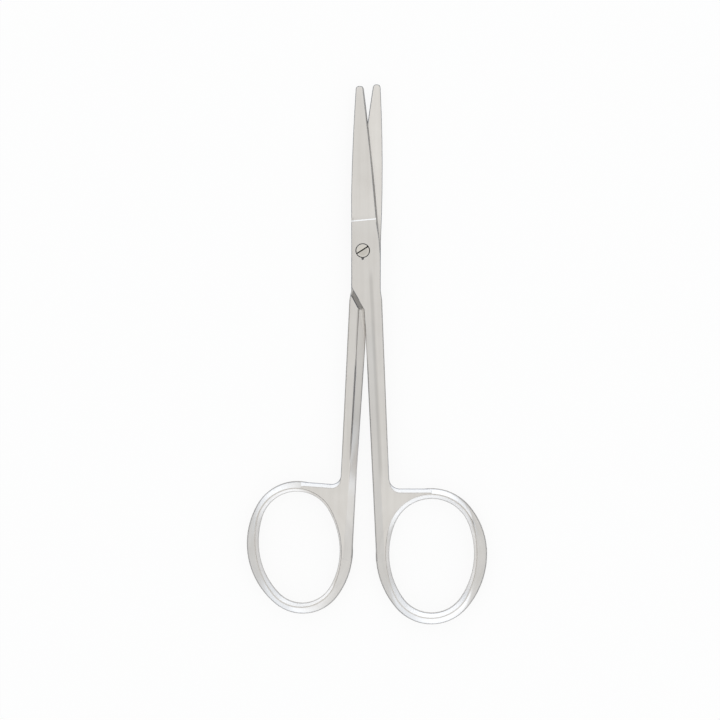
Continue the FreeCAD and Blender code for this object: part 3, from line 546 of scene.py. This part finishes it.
# %% Lower half's notch
MATING_LEVEL = mm(1.70, 1.72, 1.78, 1.80)
NOTCH_BAND, NOTCH_SIDE = mm(-12.6, -12.4, -4, -2), (mm(-2.49, -9.82), mm(-2.21, -8.65))
NOTCH_SOFTNESS = mm(-0.05, 0.1)


def notch_dull_and_shade_mask(tree, x, y, z):
    """1 on the mating face inside the notch, which is darkened for its dull grind and with painted shade."""
    level, in_joint = between(tree, z, *MATING_LEVEL), between(tree, y, *NOTCH_BAND)
    corner = span(tree, right_of(tree, x, y, NOTCH_SIDE), *NOTCH_SOFTNESS, 0.0, 1.0)
    return product(tree, level, in_joint, corner)


print("lower half: notch at z =", MATING_LEVEL[1], "to", MATING_LEVEL[2], "m")

# %% Lower half's masks
STRIP, STRIP_WIDTH = (mm(-1.42, -20), mm(-1.0, -12.6)), mm(0.04, 0.24)
STRIP_BAND, STRIP_SHADE_DARKNESS = mm(-23, -18, -12.5, -12.2), 0.55
BACK_RIDGE, INSIDE_SOFTNESS = (mm(-2.87, -46), mm(-0.93, -12.3)), mm(-0.1, 0.15)
INSIDE_BAND, INSIDE_TONE = mm(-62, -54, -12.5, -12.2), 0.94
STEEPER, STEEPER_LIGHT_TONE = mm(-36, -45), 1.25
BACK_BLADE, BACK_BLADE_TONE = mm(2, 8), 1.14
BACK_WEB_TONE = 1.06
BACK_CROTCH_BAND, BACK_CROTCH_SIDE = mm(-26, -21, -12.4, -12.0), mm(-0.6, -0.3)
DEEP, DEEP_WIDTH, DEEP_LIGHT_TONE = (mm(0.8, -19.0), mm(-0.2, -12.2)), mm(0.3, 0.5), 1.2
BROW_CENTRE, BROW_EDGE = mm(-13.14, -49.75), mm(0.45, 0.6)


def back_masks(tree, x, y, z):
    """Dark, tone and edges of the lower half."""
    # Painted shade along the line where the raised strip of the shank ends.
    strip = near_line(tree, x, y, STRIP, *STRIP_WIDTH)
    strip = product(tree, strip, between(tree, y, *STRIP_BAND), STRIP_SHADE_DARKNESS)
    dark = maths(tree, "MAXIMUM", notch_dull_and_shade_mask(tree, x, y, z), cutting_bevel_shade_mask(tree, y, -1))
    dark = maths(tree, "MAXIMUM", dark, strip)

    past_ridge = right_of(tree, x, y, BACK_RIDGE)
    inside = span(tree, past_ridge, *INSIDE_SOFTNESS, 0.0, 1.0, smooth=True)
    inside = product(tree, inside, between(tree, y, *INSIDE_BAND))
    steeper = product(tree, inside, span(tree, y, *STEEPER, 0.0, 1.0))
    side = span(tree, past_ridge, *BACK_CROTCH_SIDE, 0.0, 1.0)
    crotch = product(tree, between(tree, y, *BACK_CROTCH_BAND), side)
    deep = product(tree, near_line(tree, x, y, DEEP, *DEEP_WIDTH), crotch)
    # Painted light where the inner facet gets steep, and deep in the crotch, where it lifts the shade
    # between the halves.
    tone = product(
        tree, span(tree, inside, 0.0, 1.0, 1.0, INSIDE_TONE),
        span(tree, y, *BACK_BLADE, 1.0, BACK_BLADE_TONE),
        span(tree, y, *WEB, 1.0, BACK_WEB_TONE),
        span(tree, steeper, 0.0, 1.0, 1.0, STEEPER_LIGHT_TONE),
        span(tree, deep, 0.0, 1.0, 1.0, DEEP_LIGHT_TONE),
    )

    brow = span(tree, distance_to(tree, x, y, BROW_CENTRE), *BROW_EDGE, 1.0, 0.0)
    return dark, tone, maths(tree, "SUBTRACT", 1.0, maths(tree, "MAXIMUM", crotch, brow))


print("lower half: ridge from", BACK_RIDGE[0], "to", BACK_RIDGE[1])

# %% [markdown]
# ## The screw
#
# The head is turned, so it takes the same grain as a ring would, round its own middle. Dark: painted
# shade in the slot, which is all that lies below the level of the head. Tone: painted shade on the half
# below the slot, up to the pale rim. Edges: strongest at the lower right, painted shade.

# %% Screw's masks
HEAD_DEPTH = mm(3.40, 3.47)
SLOT_NORMAL = (0.55, 0.83)
SLOT_SOFTNESS = mm(0.0, 0.1)
HEAD_RIM = mm(0.9, 1.2)
HEAD_SHADE_TONE = 0.86


def screw_masks(tree, x, y, z):
    """Dark (painted shade in the slot), tone (painted shade below the slot) and edges of the screw. Below
    the slot: 0.55 x - 0.83 y > 0.
    """
    # Painted shade in the slot.
    slot = span(tree, z, *HEAD_DEPTH, 1.0, 0.0)
    below = maths(tree, "SUBTRACT", product(tree, x, SLOT_NORMAL[0]), product(tree, y, SLOT_NORMAL[1]))
    inner = span(tree, distance_to(tree, x, y, SCREW_CENTRE), *HEAD_RIM, 1.0, 0.0, smooth=True)
    shaded = product(tree, span(tree, below, *SLOT_SOFTNESS, 0.0, 1.0), inner)
    return slot, span(tree, shaded, 0.0, 1.0, 1.0, HEAD_SHADE_TONE), lower_right(tree, x, y)


print("screw: slot below z =", HEAD_DEPTH[1], "m")

# %% [markdown]
# ## The steel itself
#
# One recipe serves all three pieces, with its own masks and tones for each. The colour starts from a
# warm grey that wanders a little with streaks and clouds, and the masks then mix or multiply it. The
# grain sets the roughness and a faint bump. A bevel node rounds every sharp edge in the shading by a
# tenth of a millimetre, which is cheaper than rounding the mesh and keeps the CAD shape as it is.

# %% Steel's colour
WARM_STEEL = ((0.60, 0.578, 0.55), (0.70, 0.68, 0.655))
SCREW_STEEL = ((0.60, 0.57, 0.52), (0.70, 0.675, 0.63))
# Painted highlight colour of the steep bevels.
PAINTED_HIGHLIGHT_STEEL = (0.94, 0.94, 0.945)
# Painted reflection of the darker horizon along outer edges; brown on ridges, also painted shade at the foot
# of walls in creases.
EDGE_REFLECTION_TINT = (0.12, 0.15, 0.21)
RIDGE_AND_CREASE_TINT = (0.50, 0.45, 0.38)
STREAK_SHARE, CLOUD_SHARE = 0.45, 0.55
CLOUD_SCALE, CLOUD_DETAIL = 140.0, 2.0
TONE_RANGE = (0.25, 0.75)


def blended(tree, amount, first, second, blend="MIX"):
    """Mix or multiply two colours by a mask."""
    made = node(tree, "ShaderNodeMixRGB", blend_type=blend)
    plug(tree, amount, made.inputs[0])
    for socket, value in zip((made.inputs[1], made.inputs[2]), (first, second)):
        if isinstance(value, tuple):
            socket.default_value = (*value, 1)
        else:
            tree.links.new(value, socket)
    return made.outputs[0]


def steel_colour(tree, streaks, clouds, masks, tones, dark_factor, edge_reach):
    """Tone ramp, mixed towards the painted highlight colour on steep bevels, x dark and tone factors x edge
    tints.
    """
    dark, tone_factor, edges = masks
    tone = maths(tree, "ADD", product(tree, streaks, STREAK_SHARE), product(tree, clouds, CLOUD_SHARE))
    base = ramp(tree, tone, TONE_RANGE[0], tones[0], TONE_RANGE[1], tones[1])
    scaled = node(tree, "ShaderNodeVectorMath", operation="SCALE")
    tree.links.new(blended(tree, painted_highlight_mask(tree), base, PAINTED_HIGHLIGHT_STEEL), scaled.inputs[0])
    factor = product(tree, span(tree, dark, 0.0, 1.0, 1.0, dark_factor), tone_factor)
    tree.links.new(factor, scaled.inputs["Scale"])
    # Painted reflection along outer edges, and brown on ridges that is also painted shade in creases.
    outer, ridge = edge_masks(tree, edge_reach)
    edged = blended(tree, product(tree, outer, edges), scaled.outputs[0], EDGE_REFLECTION_TINT, "MULTIPLY")
    return blended(tree, product(tree, ridge, edges), edged, RIDGE_AND_CREASE_TINT, "MULTIPLY")


print("steel from", WARM_STEEL[0], "to", WARM_STEEL[1])

# %% Steel's roughness and bump
NOISE_RANGE = (0.3, 0.7)
GRAIN_ROUGHNESS, CLOUD_ROUGHNESS, DARK_ROUGHNESS = (0.26, 0.36), (0.0, 0.05), 0.2
SOFT_EDGE, SOFT_EDGE_SAMPLES = 0.1 * MM, 6
BUMP_STRENGTH, BUMP_DISTANCE, STREAK_BUMP = 0.1, 0.01 * MM, 1.5


def steel_roughness(tree, grain, clouds, dark):
    """Grain part + cloud part + what dark places add."""
    fine = span(tree, grain, *NOISE_RANGE, *GRAIN_ROUGHNESS)
    cloudy = span(tree, clouds, *NOISE_RANGE, *CLOUD_ROUGHNESS)
    return maths(tree, "ADD", maths(tree, "ADD", fine, cloudy), product(tree, dark, DARK_ROUGHNESS))


def steel_normal(tree, grain, streaks):
    """Edges rounded by SOFT_EDGE, with a bump of grain + STREAK_BUMP x streaks."""
    soft_edge = node(tree, "ShaderNodeBevel", samples=SOFT_EDGE_SAMPLES)
    soft_edge.inputs["Radius"].default_value = SOFT_EDGE
    bump = node(tree, "ShaderNodeBump")
    bump.inputs["Strength"].default_value = BUMP_STRENGTH
    bump.inputs["Distance"].default_value = BUMP_DISTANCE
    height = maths(tree, "ADD", grain, product(tree, streaks, STREAK_BUMP))
    tree.links.new(height, bump.inputs["Height"])
    tree.links.new(soft_edge.outputs[0], bump.inputs["Normal"])
    return bump.outputs[0]


print("roughness", GRAIN_ROUGHNESS, "and edges rounded by", SOFT_EDGE, "m")

# %% Dress the three pieces


def make_steel(name, ring, find_masks, tones, dark_factor, edge_reach):
    """A Principled metal whose colour, roughness and normal come from grain, clouds and masks."""
    material, shader = plain_shader(name, tones[1], sum(GRAIN_ROUGHNESS) / 2)
    shader.inputs["Metallic"].default_value = 1.0
    tree = material.node_tree
    place = node(tree, "ShaderNodeTexCoord").outputs["Object"]
    x, y, z = split(tree, place)
    grain, streaks = grain_noises(tree, x, y, z, ring)
    clouds = noise(tree, place, CLOUD_SCALE, CLOUD_DETAIL)
    masks = find_masks(tree, x, y, z)
    colour = steel_colour(tree, streaks, clouds, masks, tones, dark_factor, edge_reach)
    tree.links.new(colour, shader.inputs["Base Color"])
    tree.links.new(steel_roughness(tree, grain, clouds, masks[0]), shader.inputs["Roughness"])
    tree.links.new(steel_normal(tree, grain, streaks), shader.inputs["Normal"])
    return material


def dress(node_name, material):
    """Give a CAD node this material in every slot."""
    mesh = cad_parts[node_name].data
    if not mesh.materials:
        mesh.materials.append(material)
    for index in range(len(mesh.materials)):
        mesh.materials[index] = material
    print(node_name, "wears", material.name)


dress("front_half", make_steel(
    "front_steel", FRONT_RING_CENTRE, front_masks, WARM_STEEL, dark_factor=0.36, edge_reach=0.4 * MM))
dress("back_half", make_steel(
    "back_steel", BACK_RING_CENTRE, back_masks, WARM_STEEL, dark_factor=0.62, edge_reach=0.4 * MM))
dress("pivot_screw", make_steel(
    "screw_steel", SCREW_CENTRE, screw_masks, SCREW_STEEL, dark_factor=0.22, edge_reach=0.08 * MM))

# %% [markdown]
# ## Close
#
# The view stays plain, so that colours come out as written.

# %% Close
scene.view_settings.view_transform = "Standard"
